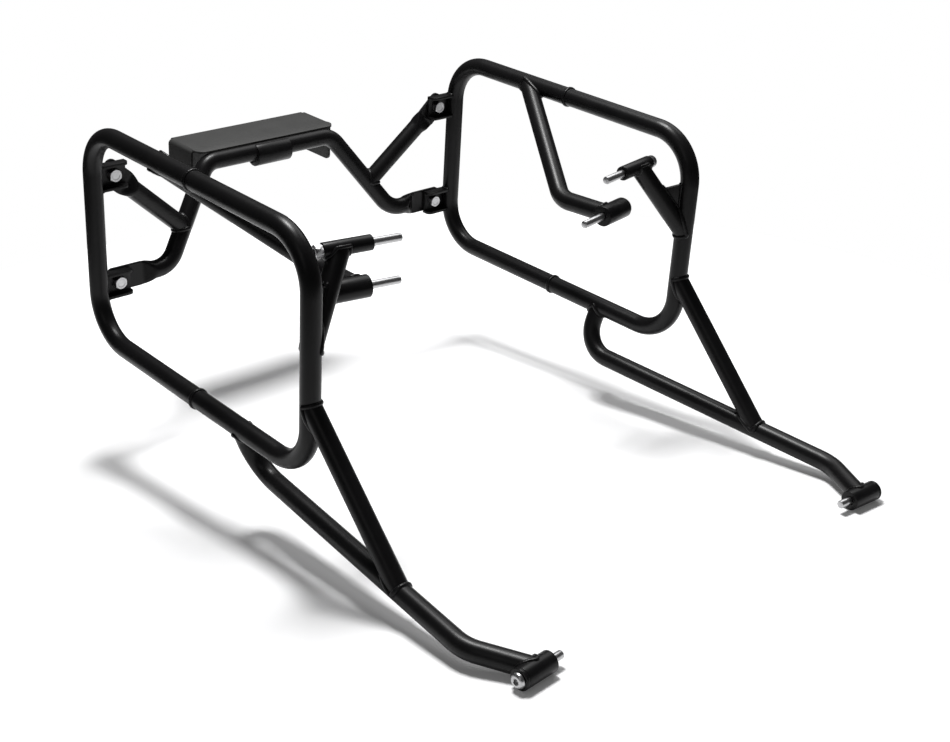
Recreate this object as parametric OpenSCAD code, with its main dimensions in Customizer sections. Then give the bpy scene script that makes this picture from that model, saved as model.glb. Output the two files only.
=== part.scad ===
// Pannier frame for a motorcycle: two tube loops, their legs, arms and stays, and the rear crossbar.
// Millimetres. X points to the rider's left, Y to the rear of the motorcycle, Z up.
// Lengths along Y are measured from the axis of the loops' rear tubes, heights from their bottom rails.

/* [Tube] */
// Outside diameter of every bent tube
tube_d = 20; // [18:0.5:22]
// Wall thickness of the tube
tube_wall = 2; // [1.5:0.5:3]
// Weld gap between a shaped tube end and the tube it stands on
weld_gap = 0.1; // [0.05:0.05:0.2]

/* [Loops] */
// Distance between the two loops, tube axis to tube axis
loop_spacing = 500; // [460:1:560]
// Length of a loop, tube axis to tube axis
loop_len = 377; // [350:1:410]
// Height of a loop, tube axis to tube axis
loop_h = 231; // [220:1:250]
// Bend radius of the loop corners at the tube axis
loop_bend_r = 50; // [42:1:55]
// How far the weld ring between the loop halves stands proud of the tube
seam_h = 1.2; // [0.8:0.1:1.5]
// Width of the weld ring
seam_w = 4.5; // [3:0.5:6]

/* [Legs] */
// Distance from the loop's front tube back to the foot of the leg on the bottom rail
leg_setback = 110; // [100:1:140]
// How far the leg's long run lies inside the loop plane where it starts
leg_start_in = 19; // [10:1:25]
// Depth of the leg's first bend below the bottom rail
leg_start_drop = 49; // [44:1:56]
// Distance of the second bend in front of the loop
leg_reach = 224; // [200:1:240]
// How far the second bend lies outside the loop plane
leg_mid_out = 5; // [0:1:10]
// Depth of the leg's front end below the bottom rail
leg_end_drop = 58.5; // [54:0.5:64]
// Distance of the mounting boss in front of the second bend
leg_end_reach = 56.5; // [50:0.5:64]
// How far the leg's front end lies inside the loop plane
leg_end_in = 24; // [18:1:30]
// Radius of the leg's first bend at the tube axis
leg_start_bend_r = 34; // [28:1:38]
// Radius of the leg's second bend at the tube axis
leg_end_bend_r = 45; // [36:1:48]
// Outside diameter of the leg's mounting boss
leg_boss_d = 20; // [18:0.5:22]
// Length of the leg's mounting boss
leg_boss_len = 35; // [34:1:44]
// How far the middle of the boss lies outboard of the leg's front end
leg_boss_out = 1; // [0:0.5:4]
// Thickness of the cap washer on the boss
leg_cap_t = 3; // [2:0.5:4]
// Angle of the boss against the crosswise direction
leg_boss_yaw = -4; // [-8:1:0]
// How far the leg bolt stands out of the boss on the motorcycle's side
leg_bolt_out = 14; // [8:1:18]

/* [Struts] */
// Height of the strut's root on the loop's front tube
strut_h = 74; // [68:1:84]
// Distance of the strut's foot in front of the loop
strut_reach = 132; // [120:1:150]

/* [Arms] */
// Distance from the loop's front tube back to the arm's root on the top rail
arm_setback = 253; // [240:1:266]
// How far the arm's bend lies inside the loop plane
arm_bend_in = 85.5; // [80:0.5:94]
// Distance of the arm's bend behind the loop's front tube
arm_bend_back = 104; // [96:1:110]
// Depth of the arm's bend below the top rail
arm_bend_drop = 79.5; // [73:0.5:83]
// Depth of the arm's boss below the top rail
arm_boss_drop = 77; // [71:1:81]
// Bend radius of the arm at the tube axis
arm_bend_r = 33; // [28:1:38]
// How far the middle of the arm's boss lies inside the loop plane
arm_boss_in = 73; // [66:1:78]
// Distance of the middle of the arm's boss behind the loop's front tube
arm_boss_back = 40; // [34:1:46]
// Outside diameter of the arm's boss
arm_boss_d = 22; // [21:0.5:24]
// Length of the arm's boss
arm_boss_len = 40; // [36:1:44]
// How far the arm bolt stands out of its boss
arm_bolt_out = 34; // [26:1:36]

/* [Front stays] */
// Depth of the stay's root on the loop's front tube, below the top rail
stay_root_drop = 104; // [101:1:111]
// How far the middle of the stay's boss lies inside the loop plane
stay_boss_in = 59; // [54:1:66]
// Distance of the middle of the stay's boss behind the loop's front tube
stay_boss_back = 27; // [22:1:32]
// Depth of the stay's boss below the top rail
stay_boss_drop = 27; // [23:1:31]
// How far the stay meets its boss outboard of the boss's middle
stay_top_out = 6.5; // [0:0.5:9]
// Outside diameter of the stay's boss
stay_boss_d = 15; // [13.5:0.5:16]
// Length of the stay's boss
stay_boss_len = 50; // [46:1:56]
// How far the stay bolt stands out of its boss
stay_bolt_out = 31; // [24:1:34]
// Angle of the arm's and the stay's boss against the crosswise direction
boss_yaw = 10; // [6:1:12]
// Thickness of the gusset plate
gusset_t = 4; // [3:0.5:6]
// Depth of the gusset's upper corner below the top rail
gusset_top_drop = 46; // [43:1:55]
// Share of the stay's length where the gusset's other corner meets it
gusset_share = 0.64; // [0.5:0.01:0.68]

/* [Crossbar] */
// Height of the crossbar's middle run
bar_z = 151; // [146:1:156]
// Distance of the crossbar's middle run behind the loops' rear tubes
bar_y = 39.5; // [36:0.5:44]
// Half width of the crossbar's middle run at its upper bends
bar_top_half = 87; // [82:1:92]
// Distance of the crossbar's lower bends inside the loop planes
bar_low_in = 92; // [91:1:98]
// Height of the crossbar's lower bends
bar_low_z = 53.5; // [52:0.5:56]
// Bend radius of the crossbar's upper bends at the tube axis
bar_top_bend_r = 24; // [20:1:30]
// Bend radius of the crossbar's lower bends at the tube axis
bar_low_bend_r = 32; // [26:1:33]
// Height on the crossbar where the brace leaves it
brace_root_z = 90; // [84:1:96]
// Width of the flattened tube ends
flat_w = 27; // [25:0.5:29]
// Length of the crushed stretch between round tube and flat end
crush_len = 17; // [14:1:18]
// Length of the crossbar's flat end in front of its bolt
bar_flat_lead = 30; // [25:1:31]
// Length of the brace's flat end in front of its bolt
brace_flat_lead = 19; // [16:1:24]
// Length of the flat ends past their bolts
flat_tail = 10.5; // [9:0.5:12]
// Corner radius of the flat ends
flat_corner_r = 5; // [3:0.5:8]
// How far a brace's flat end runs past its bolt
brace_flat_tail = 13; // [9:0.5:13]
// Corner radius of a brace's flat end
brace_corner_r = 8; // [4:0.5:9]

/* [Rear brackets] */
// Height of the upper bracket's bolt
bracket_hi_z = 174; // [168:1:178]
// Height of the lower bracket's bolt
bracket_lo_z = 52; // [50:0.5:56]
// Distance of the bracket bolts inside the loop plane
bracket_bolt_in = 26; // [24:0.5:27]
// Distance of the bracket's free edge inside the loop plane
bracket_reach = 40; // [38:0.5:44]
// Outside height of the bracket's channel section
bracket_h = 28; // [26:0.5:32]
// Depth of the channel section
bracket_depth = 12; // [10:0.5:14]
// Sheet thickness of the bracket
bracket_t = 3; // [2.5:0.5:4]
// Corner radius of the bracket's lips
lip_corner_r = 6; // [3:0.5:8]
// Distance of the flat tube ends' middle plane behind the loops' rear tubes
flat_y = 8; // [7:0.5:10]

/* [Tail box] */
// Width of the folded tail box
box_w = 196; // [180:1:210]
// Length of its top plate
box_len = 67.5; // [60:0.5:76]
// Height of its top face above the top of the crossbar
box_rise = 2; // [1.5:0.5:3]
// Height of its side walls
box_h = 47; // [40:1:52]
// Radius of the side walls' lower front corners
box_corner_r = 6; // [3:1:9]
// Sheet thickness
box_t = 2.5; // [2:0.5:3]
// Outside fold radius
box_fold_r = 5; // [4:0.5:6]
// Length of the front tongue that lies on the crossbar
tongue_len = 13; // [10:0.5:16]
// Corner radius of the tongue
tongue_r = 12; // [8:1:12]
// Length of the corner relief at the rear folds
relief_len = 7; // [6:0.5:9]
// Length of the saddle under the tail box
saddle_len = 46; // [40:1:52]
// Outside diameter of the saddle
saddle_d = 27; // [26:0.5:30]
// How far the saddle hangs below the crossbar's axis
saddle_drop = 3; // [2:0.5:3.5]

/* [Fasteners] */
// Thread diameter of all bolts
bolt_d = 8; // [6:1:8]
// Clearance of the bolt holes over the bolt diameter
hole_gap = 0.4; // [0.2:0.1:1]
// Width across flats of hexagon heads and nuts
hex_af = 13; // [12:1:14]
// Height of a hexagon head
hex_head_h = 5.3; // [4:0.1:6]
// Height of a nut
nut_h = 6.5; // [5:0.5:7]
// Diameter of a cylindrical cap head
cap_head_d = 13; // [12.5:0.5:14]
// Height of a cylindrical cap head
cap_head_h = 8; // [6:0.5:9]
// Diameter of a button head
button_d = 14.5; // [14:0.5:16]
// Height of a button head
button_h = 4.4; // [4:0.1:5]
// Width across flats of the hexagon sockets
socket_af = 5; // [4:0.5:5]
// Depth of the hexagon sockets
socket_depth = 3; // [2:0.5:3.5]
// Diameter of the washer under the arm's bolt head
arm_washer_d = 20; // [18:0.5:21]
// Thickness of the washer under the arm's bolt head
arm_washer_t = 1.6; // [1:0.2:2.5]

/* [Hidden] */
$fn = 48;
black = [0.07, 0.07, 0.075];
box_grey = [0.16, 0.16, 0.16];
steel = [0.72, 0.73, 0.75];
left = 1;
right = -1;
cut = 1;
hole_d = bolt_d + hole_gap;

// A bend is a hair thinner than its straight runs, which reach a little into it
hair = 0.02;
lap = 0.5;

// The crushed stretch of a tube end is this much smaller all round than what it joins
crush_step = 0.2;

// The shank between a bolt's head and its thread is this much thinner than the thread
shank_under = 0.8;

// Points of one side, on the rider's left
plane_x = loop_spacing / 2;
front_y = -loop_len;
seam_y = front_y / 2;
leg_root = [plane_x, front_y + leg_setback, 0];
leg_knee = [plane_x - leg_start_in, leg_root.y, -leg_start_drop];
leg_bend = [plane_x + leg_mid_out, front_y - leg_reach, -leg_end_drop];
leg_end = [plane_x - leg_end_in, leg_bend.y - leg_end_reach, -leg_end_drop];
strut_root = [plane_x, front_y, strut_h];
strut_share = (leg_knee.y - (front_y - strut_reach)) / (leg_knee.y - leg_bend.y);
strut_foot = leg_knee + (leg_bend - leg_knee) * strut_share;
arm_root = [plane_x, front_y + arm_setback, loop_h];
arm_bend = [plane_x - arm_bend_in, front_y + arm_bend_back, loop_h - arm_bend_drop];
arm_boss_mid = [plane_x - arm_boss_in, front_y + arm_boss_back, loop_h - arm_boss_drop];
arm_foot_in = 9;
arm_foot = arm_boss_mid - arm_foot_in * [cos(boss_yaw), sin(boss_yaw), 0];
stay_root = [plane_x, front_y, loop_h - stay_root_drop];
stay_boss_mid = [plane_x - stay_boss_in, front_y + stay_boss_back, loop_h - stay_boss_drop];
stay_top = stay_boss_mid + stay_top_out * [cos(boss_yaw), sin(boss_yaw), 0];
bar_low_half = plane_x - bar_low_in;
bar_points = [
  [-bar_low_half, flat_y, bar_low_z], [-bar_top_half, bar_y, bar_z],
  [bar_top_half, bar_y, bar_z], [bar_low_half, flat_y, bar_low_z]
];
brace_share = (bar_z - brace_root_z) / (bar_z - bar_low_z);
brace_root = bar_points[2] + (bar_points[3] - bar_points[2]) * brace_share;
bolt_x = plane_x - bracket_bolt_in;
hi_bolt = [bolt_x, flat_y, bracket_hi_z];
lo_bolt = [bolt_x, flat_y, bracket_lo_z];
flat_t = 2 * tube_wall;
web_back_y = flat_y - flat_t / 2;
box_front_y = bar_y;
box_rear_y = box_front_y + box_len;
box_top_z = bar_z + tube_d / 2 + box_rise;

// Middle of the whole frame, which is the origin
boss_far = leg_boss_out + leg_boss_len / 2 + leg_cap_t;
boss_half_y = boss_far * abs(sin(leg_boss_yaw)) + leg_boss_d / 2 * cos(leg_boss_yaw);
low_y = leg_end.y - boss_half_y;
low_z = -leg_end_drop - max(tube_d, leg_boss_d) / 2;
high_z = loop_h + tube_d / 2 + seam_h;
mid = [0, (low_y + box_rear_y) / 2, (low_z + high_z) / 2];

function unit(v) = v / norm(v);
function turn(a, b) = acos(max(-1, min(1, unit(a) * unit(b))));

// Puts a piece into the frame's own coordinates, mirrored for the rider's right
module placed(side = left) {
  translate(-mid) {
    if (side == left) children();
    else mirror([1, 0, 0]) children();
  }
}

// Turns +Z into the direction v, from the point p
module along(p, v) {
  translate(p) rotate([0, acos(v.z / norm(v)), atan2(v.y, v.x)]) children();
}

module rod(a, b, d, extra = 0) {
  along(a - unit(b - a) * extra, b - a) cylinder(d = d, h = norm(b - a) + 2 * extra);
}

// Bend of radius r round the corner p between the directions u and v
module elbow(p, u, v, r, d) {
  n = unit(cross(u, v));
  start = p - u * r * tan(turn(u, v) / 2);
  c = start + r * cross(n, u);
  x = unit(start - c);
  multmatrix([
    [x.x, u.x, n.x, c.x],
    [x.y, u.y, n.y, c.y],
    [x.z, u.z, n.z, c.z]
  ])
    rotate_extrude(angle = turn(u, v)) translate([r, 0]) circle(d = d - 2 * hair);
}

// Solid rod that follows the points with bends of radius r[i] at the inner points
module bent_rod(points, r, d, extra = 0) {
  last = len(points) - 1;
  trim = [for (i = [0 : last])
    (i == 0 || i == last) ? 0
      : r[i] * tan(turn(points[i] - points[i - 1], points[i + 1] - points[i]) / 2)];
  for (i = [0 : last - 1]) {
    u = unit(points[i + 1] - points[i]);
    a = points[i] + u * (trim[i] - (i == 0 ? extra : lap));
    b = points[i + 1] - u * (trim[i + 1] - (i == last - 1 ? extra : lap));
    rod(a, b, d);
  }
  for (i = [1 : max(1, last - 1)])
    if (i < last)
      elbow(points[i], unit(points[i] - points[i - 1]), unit(points[i + 1] - points[i]), r[i], d);
}

module bent_tube(points, r) {
  difference() {
    bent_rod(points, r, tube_d);
    bent_rod(points, r, tube_d - 2 * tube_wall, cut);
  }
}

// The straight tubes of a loop, enlarged by the weld gap, that the shaped tube ends stand on
module cope(a, b, d = tube_d) {
  rod(a, b, d + 2 * weld_gap);
}

module rail_cope(z) {
  cope([plane_x, front_y, z], [plane_x, 0, z]);
}

module upright_cope(y) {
  cope([plane_x, y, 0], [plane_x, y, loop_h]);
}

// Loop halves
half_r = [0, loop_bend_r, loop_bend_r, 0];
front_points = [
  [plane_x, seam_y, loop_h], [plane_x, front_y, loop_h], [plane_x, front_y, 0], [plane_x, seam_y, 0]
];
rear_points = [
  [plane_x, seam_y, loop_h], [plane_x, 0, loop_h], [plane_x, 0, 0], [plane_x, seam_y, 0]
];

module seam_ring(z) {
  translate([plane_x, seam_y, z]) rotate([90, 0, 0]) rotate_extrude() {
    translate([tube_d / 2 - tube_wall / 2, 0])
      square([tube_wall / 2 + seam_h - seam_w / 4, seam_w]);
    translate([tube_d / 2 + seam_h - seam_w / 4, seam_w / 4]) circle(d = seam_w / 2);
    translate([tube_d / 2 + seam_h - seam_w / 4, seam_w * 3 / 4]) circle(d = seam_w / 2);
    translate([tube_d / 2 + seam_h - seam_w / 4, seam_w / 4])
      square([seam_w / 4, seam_w / 2]);
  }
}

module loop_front(side) {
  color(black) placed(side) {
    bent_tube(front_points, half_r);
    seam_ring(loop_h);
    seam_ring(0);
  }
}

module loop_rear(side) {
  color(black) placed(side) bent_tube(rear_points, half_r);
}

// Legs
leg_points = [leg_root, leg_knee, leg_bend, leg_end];
leg_r = [0, leg_start_bend_r, leg_end_bend_r, 0];

module at_leg_boss() {
  translate(leg_end) rotate([0, 0, leg_boss_yaw]) rotate([0, 90, 0])
    translate([0, 0, leg_boss_out]) children();
}

module leg_tube(side) {
  color(black) placed(side) difference() {
    bent_tube(leg_points, leg_r);
    rail_cope(0);
    at_leg_boss() cylinder(d = leg_boss_d + 2 * weld_gap, h = 2 * leg_boss_len, center = true);
  }
}

module leg_boss(side) {
  color(black) placed(side) at_leg_boss() difference() {
    cylinder(d = leg_boss_d, h = leg_boss_len, center = true);
    cylinder(d = hole_d, h = leg_boss_len + 2 * cut, center = true);
  }
}

module leg_cap(side) {
  color(black) placed(side) at_leg_boss() translate([0, 0, leg_boss_len / 2]) difference() {
    cylinder(d = leg_boss_d, h = leg_cap_t);
    translate([0, 0, -cut]) cylinder(d = hole_d, h = leg_cap_t + 2 * cut);
  }
}

module socket(h) {
  translate([0, 0, h - socket_depth])
    cylinder(d = socket_af / cos(30), h = socket_depth + cut, $fn = 6);
}

// Button head that stands on z = 0
module button_head() {
  ball_r = (button_d * button_d / 4 + button_h * button_h) / (2 * button_h);
  difference() {
    intersection() {
      translate([0, 0, button_h - ball_r]) sphere(r = ball_r);
      cylinder(d = button_d, h = button_h);
    }
    socket(button_h);
  }
}

module cap_head() {
  difference() {
    cylinder(d = cap_head_d, h = cap_head_h);
    socket(cap_head_h);
  }
}

// Bolt shaft: thread from z = tip to z = mouth, shank from there to the head
module bolt_shaft(tip, mouth, head) {
  translate([0, 0, tip]) cylinder(d = bolt_d, h = mouth - tip);
  translate([0, 0, mouth - cut]) cylinder(d = bolt_d - shank_under, h = head - mouth + cut);
}

module leg_bolt(side) {
  head_z = leg_boss_len / 2 + leg_cap_t;
  tip_z = -leg_boss_len / 2 - leg_bolt_out;
  color(steel) placed(side) at_leg_boss() {
    bolt_shaft(tip_z, -leg_boss_len / 2, head_z);
    translate([0, 0, head_z]) button_head();
  }
}

module leg_strut(side) {
  color(black) placed(side) difference() {
    bent_tube([strut_root, strut_foot], []);
    upright_cope(front_y);
    cope(leg_knee, leg_bend);
  }
}

// Arms
arm_points = [arm_root, arm_bend, arm_foot];
arm_r = [0, arm_bend_r, 0];

module at_arm_boss() {
  translate(arm_boss_mid) rotate([0, 0, boss_yaw]) rotate([0, 90, 0]) children();
}

module arm_tube(side) {
  color(black) placed(side) difference() {
    bent_tube(arm_points, arm_r);
    rail_cope(loop_h);
    at_arm_boss() cylinder(d = arm_boss_d + 2 * weld_gap, h = 2 * arm_boss_len, center = true);
  }
}

module arm_boss(side) {
  color(black) placed(side) at_arm_boss() difference() {
    cylinder(d = arm_boss_d, h = arm_boss_len, center = true);
    cylinder(d = hole_d, h = arm_boss_len + 2 * cut, center = true);
  }
}

module arm_washer(side) {
  color(steel) placed(side) at_arm_boss() translate([0, 0, arm_boss_len / 2]) difference() {
    cylinder(d = arm_washer_d, h = arm_washer_t);
    translate([0, 0, -cut]) cylinder(d = hole_d, h = arm_washer_t + 2 * cut);
  }
}

module arm_bolt(side) {
  head_z = arm_boss_len / 2 + arm_washer_t;
  tip_z = -arm_boss_len / 2 - arm_bolt_out;
  color(steel) placed(side) at_arm_boss() {
    bolt_shaft(tip_z, -arm_boss_len / 2, head_z);
    translate([0, 0, head_z]) button_head();
  }
}

// Front stays
module at_stay_boss() {
  translate(stay_boss_mid) rotate([0, 0, boss_yaw]) rotate([0, 90, 0]) children();
}

module front_stay(side) {
  color(black) placed(side) difference() {
    bent_tube([stay_root, stay_top], []);
    upright_cope(front_y);
    at_stay_boss() cylinder(d = stay_boss_d + 2 * weld_gap, h = 2 * stay_boss_len, center = true);
  }
}

module stay_boss(side) {
  color(black) placed(side) at_stay_boss() difference() {
    cylinder(d = stay_boss_d, h = stay_boss_len, center = true);
    cylinder(d = hole_d, h = stay_boss_len + 2 * cut, center = true);
  }
}

module stay_bolt(side) {
  tip_z = -stay_boss_len / 2 - stay_bolt_out;
  color(steel) placed(side) at_stay_boss() {
    bolt_shaft(tip_z, -stay_boss_len / 2, stay_boss_len / 2);
    translate([0, 0, stay_boss_len / 2]) cap_head();
  }
}

// The gusset lies in the plane of the stay and the loop's front tube
module stay_gusset(side) {
  up = stay_top - stay_root;
  flat_dir = unit([up.x, up.y, 0]);
  out_len = norm([up.x, up.y]) * gusset_share;
  stay_z = up.z * gusset_share;
  color(black) placed(side) difference() {
    translate(stay_root) rotate([0, 0, atan2(flat_dir.y, flat_dir.x)]) rotate([90, 0, 0])
      linear_extrude(height = gusset_t, center = true)
        polygon([[0, 0], [out_len, stay_z], [0, stay_root_drop - gusset_top_drop]]);
    bent_rod(front_points, half_r, tube_d + 2 * weld_gap);
    cope(stay_root, stay_top);
  }
}

// Rear brackets: channels whose lips point to the front
module lip_outline() {
  lip_len = bracket_reach;
  square([lip_len, bracket_depth - lip_corner_r]);
  square([lip_len - lip_corner_r, bracket_depth]);
  translate([lip_len - lip_corner_r, bracket_depth - lip_corner_r]) circle(r = lip_corner_r);
}

module bracket(side, bolt_z) {
  color(black) placed(side) difference() {
    translate([plane_x, web_back_y, bolt_z - bracket_h / 2]) {
      for (z = [0, bracket_h - bracket_t])
        translate([0, 0, z]) rotate([0, 0, 180]) linear_extrude(height = bracket_t) lip_outline();
      translate([-bracket_reach, -bracket_t, 0]) cube([bracket_reach, bracket_t, bracket_h]);
    }
    bent_rod(rear_points, half_r, tube_d + 2 * weld_gap);
    translate([plane_x, -tube_d, bolt_z - bracket_h]) cube([tube_d, 2 * tube_d, 2 * bracket_h]);
    translate([bolt_x, 0, bolt_z]) rotate([90, 0, 0]) cylinder(d = hole_d, h = 4 * tube_d, center = true);
  }
}

module upper_bracket(side) {
  bracket(side, bracket_hi_z);
}

module lower_bracket(side) {
  bracket(side, bracket_lo_z);
}

// Flat end of a crushed tube, in the plane y = flat_y, from the point a in the direction angle,
// with corners of radius r
module flat_end(a, angle, length, r) {
  translate([a.x, flat_y + flat_t / 2, a.z]) rotate([90, 0, 0]) rotate([0, 0, angle])
    linear_extrude(height = flat_t) {
      translate([0, -flat_w / 2]) square([length - r, flat_w]);
      translate([0, r - flat_w / 2]) square([length, flat_w - 2 * r]);
      for (s = [-1, 1]) translate([length - r, s * (flat_w / 2 - r)]) circle(r = r);
    }
}

// Crushed stretch between the round tube's end at a and the flat end that starts at b
module crush(a, dir, b, angle) {
  slab_t = flat_t - 2 * crush_step;
  slab_w = flat_w - 2 * crush_step;
  hull() {
    along(a - unit(dir) * lap, dir) cylinder(d = tube_d - 2 * crush_step, h = lap, $fn = 36);
    translate([b.x, flat_y, b.z]) rotate([0, -angle, 0])
      translate([0, -slab_t / 2, -slab_w / 2]) cube([lap, slab_t, slab_w]);
  }
}

bar_tube_end_x = bolt_x - bar_flat_lead - crush_len;

module bolt_hole(p) {
  translate([p.x, 0, p.z]) rotate([90, 0, 0]) cylinder(d = hole_d, h = 4 * tube_d, center = true);
}

module rear_crossbar() {
  low_end = [bar_tube_end_x, flat_y, bar_low_z];
  flat_start = [bolt_x - bar_flat_lead, flat_y, bar_low_z];
  color(black) placed() {
    bent_tube(
      concat([[-low_end.x, low_end.y, low_end.z]], bar_points, [low_end]),
      [0, bar_low_bend_r, bar_top_bend_r, bar_top_bend_r, bar_low_bend_r, 0]
    );
    for (s = [0, 1]) mirror([s, 0, 0]) {
      crush(low_end, [1, 0, 0], flat_start, 0);
      difference() {
        flat_end(flat_start, 0, bar_flat_lead + flat_tail, flat_corner_r);
        bolt_hole(lo_bolt);
      }
    }
  }
}

module rear_brace(side) {
  dir = unit(hi_bolt - brace_root);
  angle = atan2(dir.z, dir.x);
  flat_start = hi_bolt - [cos(angle), 0, sin(angle)] * brace_flat_lead;
  tube_end = hi_bolt - dir * (brace_flat_lead + crush_len);
  color(black) placed(side) {
    difference() {
      bent_tube([brace_root, tube_end], []);
      cope(bar_points[2], bar_points[3]);
    }
    crush(tube_end, dir, flat_start, angle);
    difference() {
      flat_end(flat_start, angle, brace_flat_lead + brace_flat_tail, brace_corner_r);
      bolt_hole(hi_bolt);
    }
  }
}

module rear_bolts(side) {
  color(steel) placed(side) for (p = [hi_bolt, lo_bolt])
    translate([p.x, web_back_y - bracket_t, p.z]) rotate([-90, 0, 0]) {
      cylinder(d = bolt_d, h = bracket_t + flat_t + nut_h + bolt_d / 4);
      translate([0, 0, -hex_head_h]) cylinder(d = hex_af / cos(30), h = hex_head_h, $fn = 6);
    }
}

module rear_nuts(side) {
  color(steel) placed(side) for (p = [hi_bolt, lo_bolt])
    translate([p.x, web_back_y + flat_t, p.z]) rotate([-90, 0, 0]) difference() {
      cylinder(d = hex_af / cos(30), h = nut_h, $fn = 6);
      translate([0, 0, -cut]) cylinder(d = bolt_d, h = nut_h + 2 * cut);
    }
}

// Saddle under the tail box, a short half shell that the crossbar runs through
module crossbar_saddle() {
  color(black) placed() difference() {
    translate([0, bar_y, bar_z - saddle_drop]) rotate([0, 90, 0])
      cylinder(d = saddle_d, h = saddle_len, center = true);
    rod([-saddle_len, bar_y, bar_z], [saddle_len, bar_y, bar_z], tube_d);
    translate([-saddle_len, bar_y - saddle_d, box_top_z - box_t])
      cube([2 * saddle_len, 2 * saddle_d, saddle_d]);
  }
}

// Outline of the folded section, open below, with round folds
module fold_section(w) {
  difference() {
    union() {
      translate([-w / 2, -box_h]) square([w, box_h - box_fold_r]);
      translate([box_fold_r - w / 2, -box_fold_r]) square([w - 2 * box_fold_r, box_fold_r]);
      for (s = [-1, 1]) translate([s * (w / 2 - box_fold_r), -box_fold_r]) circle(r = box_fold_r);
    }
    union() {
      translate([box_t - w / 2, -box_h - cut]) square([w - 2 * box_t, box_h + cut - box_fold_r]);
      translate([box_fold_r - w / 2, -box_fold_r]) square([w - 2 * box_fold_r, box_fold_r - box_t]);
      for (s = [-1, 1])
        translate([s * (w / 2 - box_fold_r), -box_fold_r]) circle(r = box_fold_r - box_t);
    }
  }
}

module tail_box() {
  wall_front_y = box_front_y + tongue_len;
  wall_rear_y = box_rear_y - relief_len;
  tongue_half = box_w / 2 - box_fold_r / 2;
  color(box_grey) placed() difference() {
    union() {
      translate([0, wall_rear_y, box_top_z]) rotate([90, 0, 0])
        linear_extrude(height = wall_rear_y - wall_front_y) fold_section(box_w);
      translate([0, 0, box_top_z - box_t]) linear_extrude(height = box_t) {
        translate([-tongue_half, box_front_y + tongue_r])
          square([2 * tongue_half, tongue_len - tongue_r + cut]);
        translate([tongue_r - tongue_half, box_front_y])
          square([2 * (tongue_half - tongue_r), tongue_len + cut]);
        for (s = [-1, 1])
          translate([s * (tongue_half - tongue_r), box_front_y + tongue_r]) circle(r = tongue_r);
      }
      translate([0, 0, box_top_z]) rotate([90, 0, 90])
        linear_extrude(height = box_w - 2 * relief_len, center = true) {
          translate([wall_rear_y - cut, -box_t]) square([relief_len + cut - box_fold_r, box_t]);
          translate([box_rear_y - box_t, -box_h]) square([box_t, box_h - box_fold_r]);
          intersection() {
            difference() {
              translate([box_rear_y - box_fold_r, -box_fold_r]) circle(r = box_fold_r);
              translate([box_rear_y - box_fold_r, -box_fold_r]) circle(r = box_fold_r - box_t);
            }
            translate([box_rear_y - box_fold_r, -box_fold_r]) square([box_fold_r, box_fold_r]);
          }
        }
    }
    rod([-box_w, bar_y, bar_z], [box_w, bar_y, bar_z], tube_d);
    translate([0, wall_front_y, box_top_z - box_h]) rotate([90, 0, 90])
      linear_extrude(height = box_w + 2 * cut, center = true) difference() {
        translate([-cut, -cut]) square(box_corner_r + cut);
        translate([box_corner_r, box_corner_r]) circle(r = box_corner_r);
      }
  }
}

loop_rear(left);  // left_loop_rear
loop_front(left);  // left_loop_front
leg_tube(left);  // left_leg_tube
leg_strut(left);  // left_leg_strut
leg_boss(left);  // left_leg_boss
leg_cap(left);  // left_leg_cap
leg_bolt(left);  // left_leg_bolt
arm_tube(left);  // left_arm_tube
arm_boss(left);  // left_arm_boss
arm_washer(left);  // left_arm_washer
arm_bolt(left);  // left_arm_bolt
front_stay(left);  // left_front_stay
stay_gusset(left);  // left_stay_gusset
stay_boss(left);  // left_stay_boss
stay_bolt(left);  // left_stay_bolt
upper_bracket(left);  // left_upper_bracket
lower_bracket(left);  // left_lower_bracket
rear_brace(left);  // left_rear_brace
rear_bolts(left);  // left_rear_bolts
rear_nuts(left);  // left_rear_nuts
loop_rear(right);  // right_loop_rear
loop_front(right);  // right_loop_front
leg_tube(right);  // right_leg_tube
leg_strut(right);  // right_leg_strut
leg_boss(right);  // right_leg_boss
leg_cap(right);  // right_leg_cap
leg_bolt(right);  // right_leg_bolt
arm_tube(right);  // right_arm_tube
arm_boss(right);  // right_arm_boss
arm_washer(right);  // right_arm_washer
arm_bolt(right);  // right_arm_bolt
front_stay(right);  // right_front_stay
stay_gusset(right);  // right_stay_gusset
stay_boss(right);  // right_stay_boss
stay_bolt(right);  // right_stay_bolt
upper_bracket(right);  // right_upper_bracket
lower_bracket(right);  // right_lower_bracket
rear_brace(right);  // right_rear_brace
rear_bolts(right);  // right_rear_bolts
rear_nuts(right);  // right_rear_nuts
rear_crossbar();
crossbar_saddle();
tail_box();
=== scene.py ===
import math
import random
import bpy
import bmesh
from mathutils import Matrix, Vector


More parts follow.
